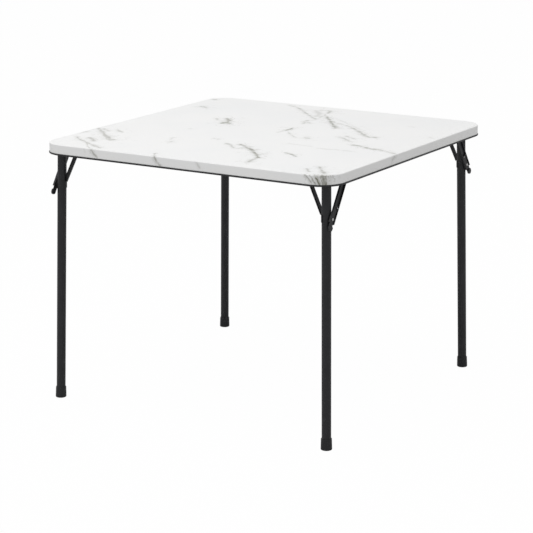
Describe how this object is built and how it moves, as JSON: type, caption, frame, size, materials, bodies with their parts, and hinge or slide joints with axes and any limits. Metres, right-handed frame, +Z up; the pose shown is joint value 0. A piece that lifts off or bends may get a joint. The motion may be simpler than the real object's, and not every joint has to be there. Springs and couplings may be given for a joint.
{
  "type": "folding card table",
  "caption": "Square folding card table with a white marbled top, black steel rim and legs that fold inwards and lock with channel braces.",
  "frame": {"origin": "on the floor, under the centre of the top", "axes": "+Z up, -Y out of the front side, +X to the right; the legs fold along Y"},
  "size_m": [0.93, 0.93, 0.743],
  "materials": {
    "marble_top": "satin white moulded top with a thin warm grey marble veining",
    "black_steel": "satin black powder coat",
    "black_plastic": "moulded black plastic",
    "zinc_steel": "bright zinc plated steel",
    "spring_steel": "bare spring wire"
  },
  "bodies": {
    "top_frame": {"table_top": "marble_top", "front_rail": "black_steel", "back_rail": "black_steel", "left_rail": "black_steel", "right_rail": "black_steel", "cross_rail_left": "black_steel", "cross_rail_right": "black_steel", "leg_clips": "black_plastic", "panel_screws": "zinc_steel", "bracket_screws": "zinc_steel", "rim_corner_front_left": "black_steel", "leg_bracket_front_left": "black_steel", "hinge_pin_front_left": "zinc_steel", "brace_pin_front_left": "zinc_steel", "rim_corner_front_right": "black_steel", "leg_bracket_front_right": "black_steel", "hinge_pin_front_right": "zinc_steel", "brace_pin_front_right": "zinc_steel", "rim_corner_back_right": "black_steel", "leg_bracket_back_right": "black_steel", "hinge_pin_back_right": "zinc_steel", "brace_pin_back_right": "zinc_steel", "rim_corner_back_left": "black_steel", "leg_bracket_back_left": "black_steel", "hinge_pin_back_left": "zinc_steel", "brace_pin_back_left": "zinc_steel"},
    "leg_front_left": {"leg_tube_front_left": "black_steel", "foot_cap_front_left": "black_plastic", "side_strut_front_left": "black_steel"},
    "brace_front_left": {"lock_brace_front_left": "black_steel", "latch_pin_front_left": "black_steel", "latch_spring_front_left": "spring_steel"},
    "latch_front_left": {"latch_lever_front_left": "black_steel", "lock_pin_front_left": "zinc_steel"},
    "leg_front_right": {"leg_tube_front_right": "black_steel", "foot_cap_front_right": "black_plastic", "side_strut_front_right": "black_steel"},
    "brace_front_right": {"lock_brace_front_right": "black_steel", "latch_pin_front_right": "black_steel", "latch_spring_front_right": "spring_steel"},
    "latch_front_right": {"latch_lever_front_right": "black_steel", "lock_pin_front_right": "zinc_steel"},
    "leg_back_right": {"leg_tube_back_right": "black_steel", "foot_cap_back_right": "black_plastic", "side_strut_back_right": "black_steel"},
    "brace_back_right": {"lock_brace_back_right": "black_steel", "latch_pin_back_right": "black_steel", "latch_spring_back_right": "spring_steel"},
    "latch_back_right": {"latch_lever_back_right": "black_steel", "lock_pin_back_right": "zinc_steel"},
    "leg_back_left": {"leg_tube_back_left": "black_steel", "foot_cap_back_left": "black_plastic", "side_strut_back_left": "black_steel"},
    "brace_back_left": {"lock_brace_back_left": "black_steel", "latch_pin_back_left": "black_steel", "latch_spring_back_left": "spring_steel"},
    "latch_back_left": {"latch_lever_back_left": "black_steel", "lock_pin_back_left": "zinc_steel"}
  },
  "joints": [
    {"name": "leg_fold_front_left", "type": "hinge", "parent": "top_frame", "child": "leg_front_left", "pos_m": [-0.422, -0.415, 0.716], "axis": [0.9993, 0.0293, -0.0216], "range_deg": [0, 91.24]},
    {"name": "brace_fold_front_left", "type": "hinge", "parent": "top_frame", "child": "brace_front_left", "pos_m": [-0.43911, -0.35548, 0.71833], "axis": [0.9993, 0.0293, -0.0216], "range_deg": [0, 122.9]},
    {"name": "latch_lift_front_left", "type": "hinge", "parent": "brace_front_left", "child": "latch_front_left", "pos_m": [-0.44348, -0.3992, 0.65102], "axis": [-0.0364, 0.8391, -0.5427], "range_deg": [0, 2.5], "stiffness_Nm_per_rad": 0.1, "springref_deg": -17.19},
    {"name": "leg_fold_front_right", "type": "hinge", "parent": "top_frame", "child": "leg_front_right", "pos_m": [0.422, -0.415, 0.716], "axis": [0.9993, -0.0293, 0.0216], "range_deg": [0, 91.24]},
    {"name": "brace_fold_front_right", "type": "hinge", "parent": "top_frame", "child": "brace_front_right", "pos_m": [0.43911, -0.35548, 0.71833], "axis": [0.9993, -0.0293, 0.0216], "range_deg": [0, 122.9]},
    {"name": "latch_lift_front_right", "type": "hinge", "parent": "brace_front_right", "child": "latch_front_right", "pos_m": [0.44348, -0.3992, 0.65102], "axis": [-0.0364, -0.8391, 0.5427], "range_deg": [0, 2.5], "stiffness_Nm_per_rad": 0.1, "springref_deg": -17.19},
    {"name": "leg_fold_back_right", "type": "hinge", "parent": "top_frame", "child": "leg_back_right", "pos_m": [0.408, 0.415, 0.716], "axis": [-0.9993, 0.0293, -0.0216], "range_deg": [0, 91.24]},
    {"name": "brace_fold_back_right", "type": "hinge", "parent": "top_frame", "child": "brace_back_right", "pos_m": [0.42159, 0.35458, 0.71833], "axis": [-0.9993, 0.0293, -0.0216], "range_deg": [0, 122.9]},
    {"name": "latch_lift_back_right", "type": "hinge", "parent": "brace_back_right", "child": "latch_back_right", "pos_m": [0.42852, 0.39797, 0.65102], "axis": [-0.0129, -0.8398, -0.5427], "range_deg": [0, 2.5], "stiffness_Nm_per_rad": 0.1, "springref_deg": -17.19},
    {"name": "leg_fold_back_left", "type": "hinge", "parent": "top_frame", "child": "leg_back_left", "pos_m": [-0.408, 0.415, 0.716], "axis": [-0.9993, -0.0293, 0.0216], "range_deg": [0, 91.24]},
    {"name": "brace_fold_back_left", "type": "hinge", "parent": "top_frame", "child": "brace_back_left", "pos_m": [-0.42159, 0.35458, 0.71833], "axis": [-0.9993, -0.0293, 0.0216], "range_deg": [0, 122.9]},
    {"name": "latch_lift_back_left", "type": "hinge", "parent": "brace_back_left", "child": "latch_back_left", "pos_m": [-0.42852, 0.39797, 0.65102], "axis": [-0.0129, 0.8398, 0.5427], "range_deg": [0, 2.5], "stiffness_Nm_per_rad": 0.1, "springref_deg": -17.19}
  ],
  "couplings": [
    {"joint": "brace_fold_front_left", "follows": "leg_fold_front_left", "ratio": 1.3467},
    {"joint": "brace_fold_front_right", "follows": "leg_fold_front_right", "ratio": 1.3467},
    {"joint": "brace_fold_back_right", "follows": "leg_fold_back_right", "ratio": 1.3467},
    {"joint": "brace_fold_back_left", "follows": "leg_fold_back_left", "ratio": 1.3467}
  ]
}
